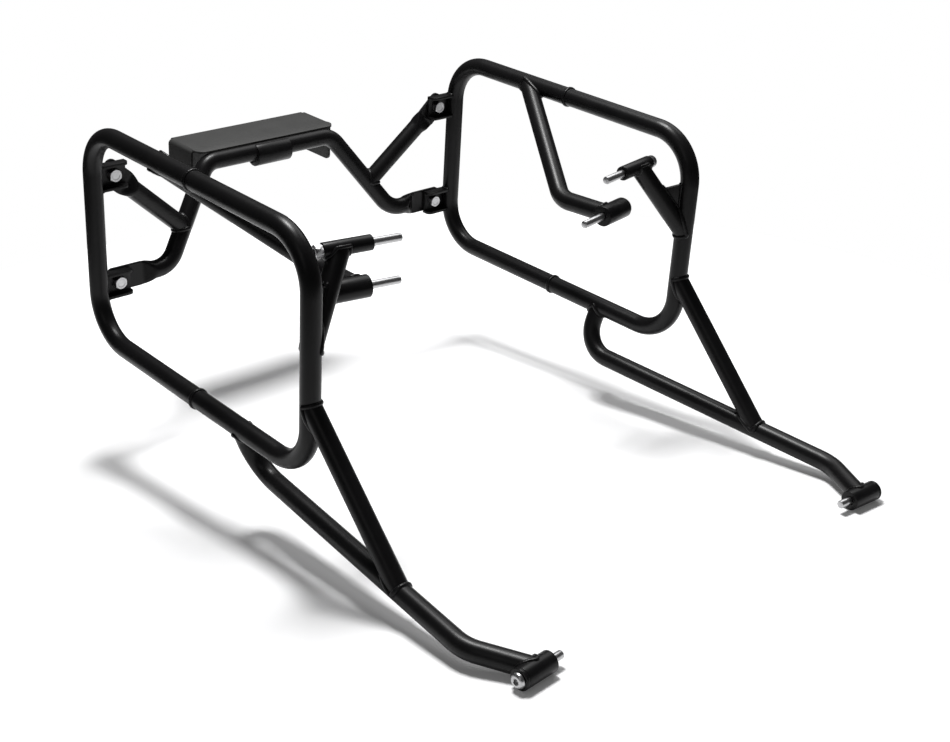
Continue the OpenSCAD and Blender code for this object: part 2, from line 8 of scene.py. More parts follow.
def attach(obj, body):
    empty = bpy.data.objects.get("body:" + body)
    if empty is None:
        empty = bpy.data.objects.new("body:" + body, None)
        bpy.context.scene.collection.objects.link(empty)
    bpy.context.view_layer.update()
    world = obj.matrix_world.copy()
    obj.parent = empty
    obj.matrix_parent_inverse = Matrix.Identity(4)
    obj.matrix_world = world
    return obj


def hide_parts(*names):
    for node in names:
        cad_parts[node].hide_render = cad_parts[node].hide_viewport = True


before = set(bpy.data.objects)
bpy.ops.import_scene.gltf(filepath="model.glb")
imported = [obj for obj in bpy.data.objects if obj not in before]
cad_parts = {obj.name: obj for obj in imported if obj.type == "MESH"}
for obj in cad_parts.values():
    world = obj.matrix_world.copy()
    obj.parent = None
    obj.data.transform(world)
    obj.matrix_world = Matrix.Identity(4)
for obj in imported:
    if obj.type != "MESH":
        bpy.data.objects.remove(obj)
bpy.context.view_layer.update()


def boss_axis(yaw):
    """Crosswise direction of a boss, turned by yaw degrees about the vertical"""
    return Vector((math.cos(math.radians(yaw)), math.sin(math.radians(yaw)), 0))


# Sizes and places in millimetres on the left half, in the axes of part.scad before it is centred

# Centre of the whole part, which is the frame's origin
MID = Vector((0.0, -280.9877, 86.85))
UP = Vector((0, 0, 1))
BACK = Vector((0, 1, 0))

# Loop, with the raised ring where its halves meet
TUBE_R = 10.0
PLANE_X = 250.0
FRONT_Y = -377.0
LOOP_H = 231.0
SEAM_W = 4.5
SEAM_R = 10.6

# Leg, its strut and its boss
LEG_ROOT = Vector((PLANE_X, -267, 0))
LEG_KNEE = Vector((231, -267, -49))
LEG_BEND = Vector((255, -601, -58.5))
LEG_END = Vector((226, -657.5, -58.5))
LEG_RUN = LEG_BEND - LEG_KNEE
STRUT_ROOT = Vector((PLANE_X, FRONT_Y, 74))
STRUT_Y = -509.0
STRUT_FOOT = LEG_KNEE + LEG_RUN * ((LEG_KNEE.y - STRUT_Y) / (LEG_KNEE.y - LEG_BEND.y))
LEG_AXIS = boss_axis(-4.0)
LEG_BOSS_OUT = 1.0
LEG_MID = LEG_END + LEG_AXIS * LEG_BOSS_OUT
LEG_BOSS_R = 10.0
LEG_BOSS_HALF = 17.5
LEG_BOLT_OUT = 14.0
CAP_R = 10.0
CAP_T = 3.0

# Arm and its boss
UPPER_AXIS = boss_axis(10.0)
ARM_ROOT = Vector((PLANE_X, -124, LOOP_H))
ARM_BEND = Vector((164.5, -273, 151.5))
ARM_MID = Vector((177, -337, 154))
ARM_BOSS_R = 11.0
ARM_BOSS_HALF = 20.0
ARM_BOLT_OUT = 34.0
ARM_FOOT_IN = 9.0
ARM_FOOT = ARM_MID - UPPER_AXIS * ARM_FOOT_IN
WASHER_R = 10.0
WASHER_T = 1.6

# Front stay, its boss and its gusset
STAY_ROOT = Vector((PLANE_X, FRONT_Y, 127))
STAY_MID = Vector((191, -350, 204))
STAY_TOP_OUT = 6.5
STAY_TOP = STAY_MID + UPPER_AXIS * STAY_TOP_OUT
STAY_BOSS_R = 7.5
STAY_BOSS_HALF = 25.0
STAY_BOLT_OUT = 31.0
GUSSET_T = 4.0

# Crushed tube ends
FLAT_Y = 8.0
FLAT_T = 4.0
FLAT_W = 27.0
CRUSH_LEN = 17.0
BAR_FLAT_LEAD = 30.0
BAR_FLAT_TAIL = 10.5
BAR_CORNER_R = 5.0
BRACE_FLAT_LEAD = 19.0
BRACE_FLAT_TAIL = 13.0
BRACE_CORNER_R = 8.0

# Rear brackets, and the bolts that hold the flat ends on them
BOLT_X = PLANE_X - 26.0
BOLTS_Z = (174.0, 52.0)
HI_BOLT = Vector((BOLT_X, FLAT_Y, BOLTS_Z[0]))
WEB_Y = FLAT_Y - FLAT_T / 2
BRACKET_T = 3.0
BRACKET_H = 28.0

# Crossbar and the brace that leaves it
BAR_LOW_X = 158.0
BAR_LOW_Z = 53.5
BAR_TOP_X = 87.0
BAR_TOP_Y = 39.5
BAR_TOP_Z = 151.0
BAR = [
    Vector((-BAR_LOW_X, FLAT_Y, BAR_LOW_Z)), Vector((-BAR_TOP_X, BAR_TOP_Y, BAR_TOP_Z)),
    Vector((BAR_TOP_X, BAR_TOP_Y, BAR_TOP_Z)), Vector((BAR_LOW_X, FLAT_Y, BAR_LOW_Z)),
]
BAR_LOW_BEND_R = 32.0
BAR_TOP_BEND_R = 24.0
BAR_DROP = BAR[3] - BAR[2]
BRACE_ROOT_Z = 90.0
BRACE_ROOT = BAR[2] + BAR_DROP * ((BAR_TOP_Z - BRACE_ROOT_Z) / (BAR_TOP_Z - BAR_LOW_Z))

# M8 fasteners
THREAD_R = 4.0
HOLE_R = 4.2
HEX_AF = 13.0
HEX_HEAD_H = 5.3
NUT_H = 6.5

# Width and height of the weld beads' sections
TUBE_BEAD = (2.3, 1.7)
BOSS_BEAD = (2.0, 1.5)
SMALL_BOSS_BEAD = (1.7, 1.3)
SEAM_BEAD = (2.0, 0.9)
BRACKET_BEAD = (1.5, 1.1)
GUSSET_BEAD = (1.3, 1.0)
RIPPLE_PITCH = 2.3


def mm(v):
    """Place in the frame, in metres, of a point in part.scad's axes"""
    return (Vector(v) - MID) / 1000.0


def flip(v, side):
    """Point of the left half as it is on side 1, the left, or -1, the right"""
    return Vector((v[0] * side, v[1], v[2]))


def side_name(side):
    return "left" if side > 0 else "right"


def round_points(count):
    """Angles of count even steps around a circle"""
    return [2 * math.pi * i / count for i in range(count)]


# Materials

def new_material(name, colour, metallic, rough):
    mat = bpy.data.materials.new(name)
    mat.use_nodes = True
    nt = mat.node_tree
    bsdf = nt.nodes["Principled BSDF"]
    bsdf.inputs["Base Color"].default_value = (*colour, 1)
    bsdf.inputs["Metallic"].default_value = metallic
    bsdf.inputs["Roughness"].default_value = rough
    coord = nt.nodes.new("ShaderNodeTexCoord")
    return mat, nt, bsdf, coord


def noise(nt, coord, scale, detail=4.0, rough=0.55):
    n = nt.nodes.new("ShaderNodeTexNoise")
    n.inputs["Scale"].default_value = scale
    n.inputs["Detail"].default_value = detail
    n.inputs["Roughness"].default_value = rough
    nt.links.new(coord.outputs["Object"], n.inputs["Vector"])
    return n


def two_tone(nt, source, low, dark, high, light):
    """Colour that goes from dark where source is at low to light where it is at high"""
    r = nt.nodes.new("ShaderNodeValToRGB")
    for stop, place, colour in zip(r.color_ramp.elements, (low, high), (dark, light)):
        stop.position = place
        stop.color = (*colour, 1)
    nt.links.new(source, r.inputs["Fac"])
    return r


def spread(nt, source, low, high):
    """Value between low and high over the middle of a noise"""
    m = nt.nodes.new("ShaderNodeMapRange")
    m.inputs["From Min"].default_value = 0.3
    m.inputs["From Max"].default_value = 0.7
    m.inputs["To Min"].default_value = low
    m.inputs["To Max"].default_value = high
    nt.links.new(source, m.inputs["Value"])
    return m


def add_bump(nt, bsdf, source, strength, distance):
    bump = nt.nodes.new("ShaderNodeBump")
    bump.inputs["Strength"].default_value = strength
    bump.inputs["Distance"].default_value = distance
    nt.links.new(source, bump.inputs["Height"])
    nt.links.new(bump.outputs["Normal"], bsdf.inputs["Normal"])


def powder_coat(name, dark, light, rough, shine):
    mat, nt, bsdf, coord = new_material(name, light, 0.0, rough)
    patch = noise(nt, coord, 35.0, 3.0)
    tint = two_tone(nt, patch.outputs["Fac"], 0.35, dark, 0.65, light)
    nt.links.new(tint.outputs["Color"], bsdf.inputs["Base Color"])
    grain = noise(nt, coord, 900.0, 3.0, 0.6)
    gloss = spread(nt, grain.outputs["Fac"], rough - 0.05, rough + 0.06)
    nt.links.new(gloss.outputs["Result"], bsdf.inputs["Roughness"])
    peel = noise(nt, coord, 1400.0, 2.0, 0.5)
    swell = noise(nt, coord, 260.0, 2.0, 0.5)
    both = nt.nodes.new("ShaderNodeMath")
    both.operation = "ADD"
    nt.links.new(peel.outputs["Fac"], both.inputs[0])
    nt.links.new(swell.outputs["Fac"], both.inputs[1])
    add_bump(nt, bsdf, both.outputs["Value"], 0.22, 0.00012)
    bsdf.inputs["Specular IOR Level"].default_value = shine
    return mat


def plated_steel(name, dark, light, rough):
    mat, nt, bsdf, coord = new_material(name, light, 1.0, rough)
    patch = noise(nt, coord, 240.0, 4.0)
    tint = two_tone(nt, patch.outputs["Fac"], 0.3, dark, 0.7, light)
    nt.links.new(tint.outputs["Color"], bsdf.inputs["Base Color"])
    fine = noise(nt, coord, 1800.0, 3.0)
    gloss = spread(nt, fine.outputs["Fac"], rough - 0.03, rough + 0.04)
    nt.links.new(gloss.outputs["Result"], bsdf.inputs["Roughness"])
    add_bump(nt, bsdf, fine.outputs["Fac"], 0.15, 0.00005)
    return mat


BLACK = powder_coat("black_powder_coat", dark=(0.0036, 0.0034, 0.0037), light=(0.0052, 0.0050, 0.0053),
                    rough=0.34, shine=0.17)
GREY = powder_coat("tail_box_powder_coat", dark=(0.021, 0.021, 0.0205), light=(0.025, 0.025, 0.0245),
                   rough=0.6, shine=0.3)
ZINC = plated_steel("zinc_plated_steel", dark=(0.4, 0.4, 0.405), light=(0.47, 0.47, 0.475), rough=0.32)

for name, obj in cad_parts.items():
    coat = BLACK
    if name == "tail_box":
        coat = GREY
    if name.endswith(("bolt", "bolts", "nuts", "washer")):
        coat = ZINC
    for s in obj.material_slots:
        s.material = coat


# Mesh helpers

def finish_mesh(name, bm, coat, node=None, angle=35.0):
    """Object of a mesh, smooth up to angle degrees, in its material's slot"""
    bmesh.ops.recalc_face_normals(bm, faces=bm.faces)
    data = bpy.data.meshes.new(name)
    bm.to_mesh(data)
    bm.free()
    obj = bpy.data.objects.new(name, data)
    bpy.context.collection.objects.link(obj)
    data.materials.append(coat)
    for p in data.polygons:
        p.use_smooth = True
    data.set_sharp_from_angle(angle=math.radians(angle))
    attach(obj, "root")
    if node:
        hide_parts(node)
    return obj


def skin(bm, rings, close_ends=False, loop=False):
    """Faces between rings of points, closed by end faces or by joining the last ring to the first"""
    grid = [[bm.verts.new(p) for p in ring] for ring in rings]
    count = len(rings[0])
    pairs = list(zip(grid, grid[1:]))
    if loop:
        pairs.append((grid[-1], grid[0]))
    for a, b in pairs:
        for i in range(count):
            j = (i + 1) % count
            bm.faces.new((a[i], a[j], b[j], b[i]))
    if close_ends:
        bm.faces.new(list(reversed(grid[0])))
        bm.faces.new(grid[-1])


def axes_for(direction):
    """Two directions across the given one, and the given one at length 1"""
    z = Vector(direction).normalized()
    x = UP.cross(z)
    if x.length < 0.01:
        x = Vector((1, 0, 0))
    x.normalize()
    return x, z.cross(x), z


def reach(point, direction, axis, radius):
    """How far from point along direction the round bar about axis through the origin ends"""
    p = point - axis * point.dot(axis)
    d = direction - axis * direction.dot(axis)
    a = d.length_squared
    b = 2 * p.dot(d)
    c = p.length_squared - radius * radius
    return (-b + math.sqrt(max(0.0, b * b - 4 * a * c))) / (2 * a)


# Weld beads

def bead(name, path, normals, width, height, closed, seed):
    """Rippled weld bead along a path"""
    rnd = random.Random(seed)
    count = len(path)
    length = 0.0
    rings = []
    phase = rnd.uniform(0, 6.28)
    for i in range(count):
        if i:
            length += (path[i] - path[i - 1]).length
        before = path[(i - 1) % count] if closed or i else path[i]
        after = path[(i + 1) % count] if closed or i < count - 1 else path[i]
        t = (after - before).normalized()
        n = (normals[i] - t * normals[i].dot(t)).normalized()
        b = t.cross(n)
        step = (length / RIPPLE_PITCH + phase) % 1.0
        lump = 0.84 + 0.2 * math.sqrt(max(0.0, 1 - (2 * step - 1) ** 2))
        lump += 0.05 * math.sin(length * 0.37 + phase)
        if not closed:
            near = min(i, count - 1 - i) / 3.0
            lump *= min(1.0, math.sqrt(max(0.02, near)))
        ring = []
        for a in round_points(12):
            offset = b * (width * lump * math.cos(a)) + n * (height * lump * math.sin(a))
            ring.append(mm(path[i] + offset))
        rings.append(ring)
    bm = bmesh.new()
    skin(bm, rings, close_ends=not closed, loop=closed)
    return finish_mesh(name, bm, BLACK, angle=60)


def joint_bead(name, joint, other_end, bar_axis, bar_r, size, side, seed):
    """Bead where the tube from joint to other_end stands on the round bar through joint"""
    d = (other_end - joint).normalized()
    e = bar_axis.normalized()
    u, v, _ = axes_for(d)
    path = []
    normals = []
    steps = int(2 * math.pi * TUBE_R / 0.55)
    for a in round_points(steps):
        n1 = u * math.cos(a) + v * math.sin(a)
        s = n1 * TUBE_R
        point = s + d * reach(s, d, e, bar_r)
        n2 = (point - e * point.dot(e)).normalized()
        both = n1 + n2
        n = both.normalized()
        path.append(flip(joint + point + n * (0.35 / max(0.45, both.length / 2)), side))
        normals.append(flip(n, side))
    # Evens out the corners that equal tubes leave at the sides of the joint
    for _ in range(3):
        path = [(path[i - 1] + path[i] * 2 + path[(i + 1) % steps]) / 4 for i in range(steps)]
    return bead(name, path, normals, *size, True, seed)


def ring_bead(name, centre, axis, radius, size, side, seed):
    u, v, _ = axes_for(axis)
    path = []
    normals = []
    for a in round_points(140):
        n = u * math.cos(a) + v * math.sin(a)
        path.append(flip(centre + n * radius, side))
        normals.append(flip(n, side))
    return bead(name, path, normals, *size, True, seed)


def line_bead(name, points, normal, size, side, seed):
    path = []
    for a, b in zip(points, points[1:]):
        n = max(2, int((b - a).length / 0.6))
        path += [a.lerp(b, i / n) for i in range(n)]
    path.append(points[-1])
    for _ in range(2):
        middle = [(p + q * 2 + r) / 4 for p, q, r in zip(path, path[1:], path[2:])]
        path = [path[0]] + middle + [path[-1]]
    return bead(name, [flip(p, side) for p in path], [flip(normal, side)] * len(path), *size, False, seed)


# Each side's beads count their random seeds from here
FIRST_SEED = {1: 10, -1: 60}


def seam_welds(side):
    for i, z in enumerate((0.0, LOOP_H)):
        centre = Vector((PLANE_X, (FRONT_Y - SEAM_W) / 2, z))
        ring_bead(side_name(side) + "_weld_seam_%d" % i, centre, BACK, SEAM_R, SEAM_BEAD, side,
                  FIRST_SEED[side] + i)


def joint_welds(side):
    joints = (
        ("leg_root", LEG_ROOT, LEG_KNEE, BACK, TUBE_R, TUBE_BEAD),
        ("strut_root", STRUT_ROOT, STRUT_FOOT, UP, TUBE_R, TUBE_BEAD),
        ("strut_foot", STRUT_FOOT, STRUT_ROOT, LEG_RUN, TUBE_R, TUBE_BEAD),
        ("leg_boss", LEG_END, LEG_BEND, LEG_AXIS, LEG_BOSS_R, BOSS_BEAD),
        ("arm_root", ARM_ROOT, ARM_BEND, BACK, TUBE_R, TUBE_BEAD),
        ("arm_boss", ARM_FOOT, ARM_BEND, UPPER_AXIS, ARM_BOSS_R, BOSS_BEAD),
        ("stay_root", STAY_ROOT, STAY_TOP, UP, TUBE_R, TUBE_BEAD),
        ("stay_boss", STAY_TOP, STAY_ROOT, UPPER_AXIS, STAY_BOSS_R, SMALL_BOSS_BEAD),
        ("brace_root", BRACE_ROOT, HI_BOLT, BAR_DROP, TUBE_R, TUBE_BEAD),
    )
    for k, (name, joint, other_end, bar_axis, bar_r, size) in enumerate(joints):
        joint_bead(side_name(side) + "_weld_" + name, joint, other_end, bar_axis, bar_r, size, side,
                   FIRST_SEED[side] + 2 + k)


def bracket_welds(side):
    """Beads along each bracket's web and around its two lips"""
    n = side_name(side)
    seed = FIRST_SEED[side]
    web_end = BRACKET_H / 2 - 1.5
    x = PLANE_X - math.sqrt(TUBE_R ** 2 - WEB_Y ** 2) - 0.3
    for i, z in enumerate(BOLTS_Z):
        web = [Vector((x, WEB_Y + 0.6, z - web_end)), Vector((x, WEB_Y + 0.6, z + web_end))]
        line_bead(n + "_weld_bracket_web_%d" % i, web, Vector((-0.6, 1, 0)), BRACKET_BEAD, side,
                  seed + 12 + i)
        for k, s in enumerate((1, -1)):
            arc = []
            for j in range(9):
                a = math.radians(143 + 74 * j / 8)
                around = Vector((math.cos(a), math.sin(a), 0)) * (TUBE_R + 0.4)
                arc.append(Vector((PLANE_X, 0, z + (BRACKET_H / 2 + 0.3) * s)) + around)
            line_bead(n + "_weld_bracket_lip_%d_%d" % (i, k), arc, Vector((-0.6, 0, s)), BRACKET_BEAD, side,
                      seed + 16 + 4 * i + k)


def gusset_welds(side):
    """Beads on both faces of the gusset, up the loop's tube and along the stay"""
    n = side_name(side)
    seed = FIRST_SEED[side]
    stay = STAY_TOP - STAY_ROOT
    out = Vector((stay.x, stay.y, 0)).normalized()
    face = out.cross(UP)
    along = stay.normalized()
    off = face.cross(along)
    if off.z < 0:
        off.negate()
    for k, s in enumerate((1, -1)):
        lift = face * ((GUSSET_T / 2 + 0.2) * s)
        start = STAY_ROOT + out * (TUBE_R + 0.2) + lift
        line_bead(n + "_weld_gusset_up_%d" % k, [start + UP * 22, start + UP * 57], out + face * s,
                  GUSSET_BEAD, side, seed + 30 + k)
        start = STAY_ROOT + off * (TUBE_R + 0.2) + lift
        line_bead(n + "_weld_gusset_stay_%d" % k, [start + along * 20, start + along * 62], off + face * s,
                  GUSSET_BEAD, side, seed + 34 + k)


# Bosses, bolts and washers of each side

def hex_radius(af, angle):
    """Radius at an angle of a hexagon by its width across flats"""
    a = (angle + math.pi / 6) % (math.pi / 3) - math.pi / 6
    return af / 2 / math.cos(a)


def line_radius(shape, size, i, angle):
    """Radius at step i of a profile line"""
    if shape == "hex":
        return hex_radius(size, angle)
    if shape == "knurl" and i % 4 >= 2:
        return size - 0.14
    return size


def turned(name, origin, axis, profile, coat, node, side, hollow=False, steps=72):
    """Part turned about an axis. A profile line is (shape, size, height), where the shape is round or knurl
    by its radius or hex by its width across flats. A hollow part's first and last lines are joined."""
    u, v, z = axes_for(axis)
    rings = []
    for shape, size, height in profile:
        ring = []
        for i, a in enumerate(round_points(steps)):
            r = line_radius(shape, size, i, a)
            ring.append(mm(flip(origin + (u * math.cos(a) + v * math.sin(a)) * r + z * height, side)))
        rings.append(ring)
    bm = bmesh.new()
    skin(bm, rings, close_ends=not hollow, loop=hollow)
    return finish_mesh(name, bm, coat, node, angle=30)


def round_end(r, height, edge, up):
    """Profile lines of a rounded outer edge, at the upper end or, with up false, at the lower end"""
    out = []
    for i in range(5):
        a = math.pi / 2 * i / 4
        drop = edge - edge * math.sin(a)
        out.append(("round", r - edge + edge * math.cos(a), height - drop if up else height + drop))
    return out if up else out[::-1]


def bored_profile(r, low, high, edge):
    """Ring between two heights, with rounded outer edges and a bevelled bore"""
    return (
        round_end(r, low, edge, up=False)
        + round_end(r, high, edge, up=True)
        + [
            ("round", HOLE_R + 0.5, high), ("round", HOLE_R, high - 0.5),
            ("round", HOLE_R, low + 0.5), ("round", HOLE_R + 0.5, low),
        ]
    )


def socket_lines(top, af, depth):
    return [
        ("round", af / 2 + 0.75, top), ("hex", af, top - 0.45), ("hex", af, top - depth),
        ("hex", af * 0.5, top - depth - 0.5), ("round", 0.3, top - depth - 0.6),
    ]


def pin_lines(tip, mouth, head):
    """Bolt from its bevelled tip to its head, a little thinner from the mouth of the bore on"""
    return [
        ("round", 0.4, tip), ("round", THREAD_R - 1.0, tip), ("round", THREAD_R - 0.3, tip + 0.3),
        ("round", THREAD_R, tip + 1.1), ("round", THREAD_R, mouth), ("round", THREAD_R - 0.4, mouth + 0.2),
        ("round", THREAD_R - 0.4, head),
    ]


def button_lines(base):
    lines = [("round", 6.9, base), ("round", 7.25, base + 0.35), ("round", 7.25, base + 0.8)]
    for i in range(1, 8):
        a = math.radians(90 * i / 8)
        lines.append(("round", 3.9 + 3.35 * math.cos(a), base + 0.8 + 3.6 * math.sin(a)))
    return lines + socket_lines(base + 4.4, 5.0, 2.8)


def cap_lines(base):
    lines = [("round", 6.0, base), ("knurl", 6.5, base + 0.5), ("knurl", 6.5, base + 6.9)]
    lines += [("round", 6.3, base + 7.3), ("round", 5.7, base + 7.9), ("round", 5.2, base + 8.0)]
    return lines + socket_lines(base + 8.0, 6.0, 3.0)


def leg_fasteners(side):
    n = side_name(side) + "_leg_"
    half = LEG_BOSS_HALF
    top = half + CAP_T
    turned(n + "boss_turned", LEG_MID, LEG_AXIS, bored_profile(LEG_BOSS_R, -half, half, 0.7), BLACK,
           n + "boss", side, hollow=True)
    turned(n + "cap_turned", LEG_MID, LEG_AXIS, bored_profile(CAP_R, half, top, 0.5), BLACK,
           n + "cap", side, hollow=True)
    bolt = pin_lines(-half - LEG_BOLT_OUT, -half, top) + button_lines(top)
    turned(n + "bolt_turned", LEG_MID, LEG_AXIS, bolt, ZINC, n + "bolt", side)


def arm_fasteners(side):
    n = side_name(side) + "_arm_"
    half = ARM_BOSS_HALF
    top = half + WASHER_T
    turned(n + "boss_turned", ARM_MID, UPPER_AXIS, bored_profile(ARM_BOSS_R, -half, half, 0.9), BLACK,
           n + "boss", side, hollow=True)
    turned(n + "washer_turned", ARM_MID, UPPER_AXIS, bored_profile(WASHER_R, half, top, 0.3), ZINC,
           n + "washer", side, hollow=True)
    bolt = pin_lines(-half - ARM_BOLT_OUT, -half, top) + button_lines(top)
    turned(n + "bolt_turned", ARM_MID, UPPER_AXIS, bolt, ZINC, n + "bolt", side)


def stay_fasteners(side):
    n = side_name(side) + "_stay_"
    half = STAY_BOSS_HALF
    turned(n + "boss_turned", STAY_MID, UPPER_AXIS, bored_profile(STAY_BOSS_R, -half, half, 0.6), BLACK,
           n + "boss", side, hollow=True)
    bolt = pin_lines(-half - STAY_BOLT_OUT, -half, half) + cap_lines(half)
    turned(n + "bolt_turned", STAY_MID, UPPER_AXIS, bolt, ZINC, n + "bolt", side, steps=192)


# Hexagon bolts and nuts of the rear brackets

def hex_block(bm, origin, axis, height, side, low_bevel=False, bore=0.0, dish=0.0):
    """Hexagonal head or nut with turned corner bevels, with a bore or else with a dish in its top"""
    u, v, z = axes_for(axis)
    flat_r = HEX_AF / 2 - 0.15
    slope = math.tan(math.radians(28))
    rings = []

    def add_ring(radius_at, height_at):
        ring = []
        for a in round_points(96):
            r = radius_at(a)
            ring.append(mm(flip(origin + (u * math.cos(a) + v * math.sin(a)) * r + z * height_at(r), side)))
        rings.append(ring)

    def circle(r):
        return lambda a: r

    def corners(share):
        """From the circle inside the flats, at share 0, to the hexagon, at 1"""
        return lambda a: flat_r + (hex_radius(HEX_AF, a) - flat_r) * share

    def top(r):
        return height - max(0.0, r - flat_r) * slope

    def base(r):
        return max(0.0, r - flat_r) * slope if low_bevel else 0.0

    inner = bore if bore else 0.3
    add_ring(circle(inner), lambda r: 0.0)
    for share in (0.0, 0.5, 1.0):
        add_ring(corners(share), base)
    for share in (1.0, 0.5, 0.0):
        add_ring(corners(share), top)
    if bore:
        add_ring(circle(inner + 0.6), top)
        add_ring(circle(inner), lambda r: height - 0.6)
        skin(bm, rings, loop=True)
    else:
        add_ring(circle(flat_r * 0.72), top)
        add_ring(circle(flat_r * 0.64), lambda r: height - dish)
        add_ring(circle(inner), lambda r: height - dish)
        skin(bm, rings, close_ends=True)


def shank(bm, origin, axis, length, side):
    """Bolt's shank with a bevelled end, from inside its head to length"""
    u, v, w = axes_for(axis)
    rings = []
    for r, y in (
        (THREAD_R, -0.5), (THREAD_R, length - 1.0), (THREAD_R - 0.1, length - 0.4), (THREAD_R - 0.7, length),
        (0.3, length),
    ):
        rings.append([mm(flip(origin + (u * math.cos(a) + v * math.sin(a)) * r + w * y, side))
                      for a in round_points(48)])
    skin(bm, rings, close_ends=True)


def rear_fasteners(side):
    n = side_name(side)
    bolts = bmesh.new()
    nuts = bmesh.new()
    for z in BOLTS_Z:
        seat = Vector((BOLT_X, WEB_Y - BRACKET_T, z))
        hex_block(bolts, seat, -BACK, HEX_HEAD_H, side, dish=0.35)
        shank(bolts, seat, BACK, BRACKET_T + FLAT_T + NUT_H + 2.1, side)
        hex_block(nuts, Vector((BOLT_X, WEB_Y + FLAT_T, z)), BACK, NUT_H, side, low_bevel=True, bore=4.02)
    finish_mesh(n + "_rear_bolts_turned", bolts, ZINC, n + "_rear_bolts", angle=25)
    finish_mesh(n + "_rear_nuts_turned", nuts, ZINC, n + "_rear_nuts", angle=25)


# Crossbar and braces with their crushed ends

def bent_path(points, radii, step=3.0):
    """Points and directions along straight runs and bends"""
    out = []
    last = len(points) - 1
    trims = [0.0] * len(points)
    for i in range(1, last):
        a = (points[i] - points[i - 1]).normalized()
        b = (points[i + 1] - points[i]).normalized()
        trims[i] = radii[i] * math.tan(a.angle(b) / 2)
    for i in range(last):
        d = (points[i + 1] - points[i]).normalized()
        a = points[i] + d * trims[i]
        b = points[i + 1] - d * trims[i + 1]
        n = max(1, int((b - a).length / step))
        for k in range(n + 1):
            out.append((a.lerp(b, k / n), d.copy()))
        if i + 1 < last:
            e = (points[i + 2] - points[i + 1]).normalized()
            turn = d.angle(e)
            w = (e - d * e.dot(d)).normalized()
            centre = b + w * radii[i + 1]
            m = max(4, int(math.degrees(turn) / 4))
            for k in range(1, m):
                t = turn * k / m
                out.append((centre + (-w * math.cos(t) + d * math.sin(t)) * radii[i + 1],
                            d * math.cos(t) + w * math.sin(t)))
    return out


def section(point, direction, wide, half_w=TUBE_R, half_t=TUBE_R, power=2):
    """Ring of a tube section, between a circle at power 2 and a flat with round edges"""
    d = direction.normalized()
    a = (wide - d * wide.dot(d)).normalized()
    b = d.cross(a)
    ring = []
    for t in round_points(48):
        c = math.cos(t)
        s = math.sin(t)
        x = math.copysign(abs(c) ** (2 / power), c) * half_w
        y = math.copysign(abs(s) ** (2 / power), s) * half_t
        ring.append(point + a * x + b * y)
    return ring


def ease(x):
    """Smooth step from 0 to 1"""
    return x * x * (3 - 2 * x)


def crushed(start, tube_dir, stop, flat_dir, wide):
    """Rings from the round tube's end at start to the flat end at stop"""
    rings = []
    steps = 16
    for k in range(1, steps + 1):
        f = ease(k / steps)
        half_w = TUBE_R + (FLAT_W / 2 - TUBE_R) * f
        half_t = TUBE_R + (FLAT_T / 2 - TUBE_R) * f
        point = start.lerp(stop, k / steps)
        rings.append(section(point, tube_dir.lerp(flat_dir, f), wide, half_w, half_t, 2 + 5 * f))
    return rings


def flat_plate(bm, start, direction, across, lead, tail, corner):
    """Flat end from start, with round corners and a bolt hole between its lead and its tail"""
    d = direction.normalized()
    a = across.normalized()
    length = lead + tail
    half_w = FLAT_W / 2
    half_t = FLAT_T / 2
    edge = 0.35
    outline = [(0.0, -half_w)]
    for centre, turn in ((corner - half_w, -90), (half_w - corner, 0)):
        for k in range(9):
            t = math.radians(turn + 90 * k / 8)
            outline.append((length - corner + corner * math.cos(t), centre + corner * math.sin(t)))
    outline.append((0.0, half_w))
    hole = [(lead + HOLE_R * math.cos(t), HOLE_R * math.sin(t)) for t in round_points(48)]

    def layer(points, y, shrink=0.0):
        """Points in the plate's plane at height y, drawn in by shrink except where the tube goes on"""
        out = []
        for x, z in points:
            sx = x - math.copysign(shrink, x - length / 2) if x else 0.0
            sz = z - math.copysign(shrink, z)
            out.append(bm.verts.new(mm(start + d * sx + a * sz + BACK * y)))
        return out

    def wall(low, high):
        for i in range(len(low)):
            j = (i + 1) % len(low)
            bm.faces.new((low[i], low[j], high[j], high[i]))

    def edges_of(ring):
        pairs = list(zip(ring, ring[1:] + ring[:1]))
        return [bm.edges.get(pair) or bm.edges.new(pair) for pair in pairs]

    rims = [layer(outline, -half_t, edge), layer(outline, edge - half_t), layer(outline, half_t - edge),
            layer(outline, half_t, edge)]
    for low, high in zip(rims, rims[1:]):
        wall(low, high)
    holes = [layer(hole, -half_t), layer(hole, half_t)]
    wall(*holes)
    for rim, inner in ((rims[0], holes[0]), (rims[-1], holes[1])):
        bmesh.ops.triangle_fill(bm, use_beauty=True, edges=edges_of(rim) + edges_of(inner))


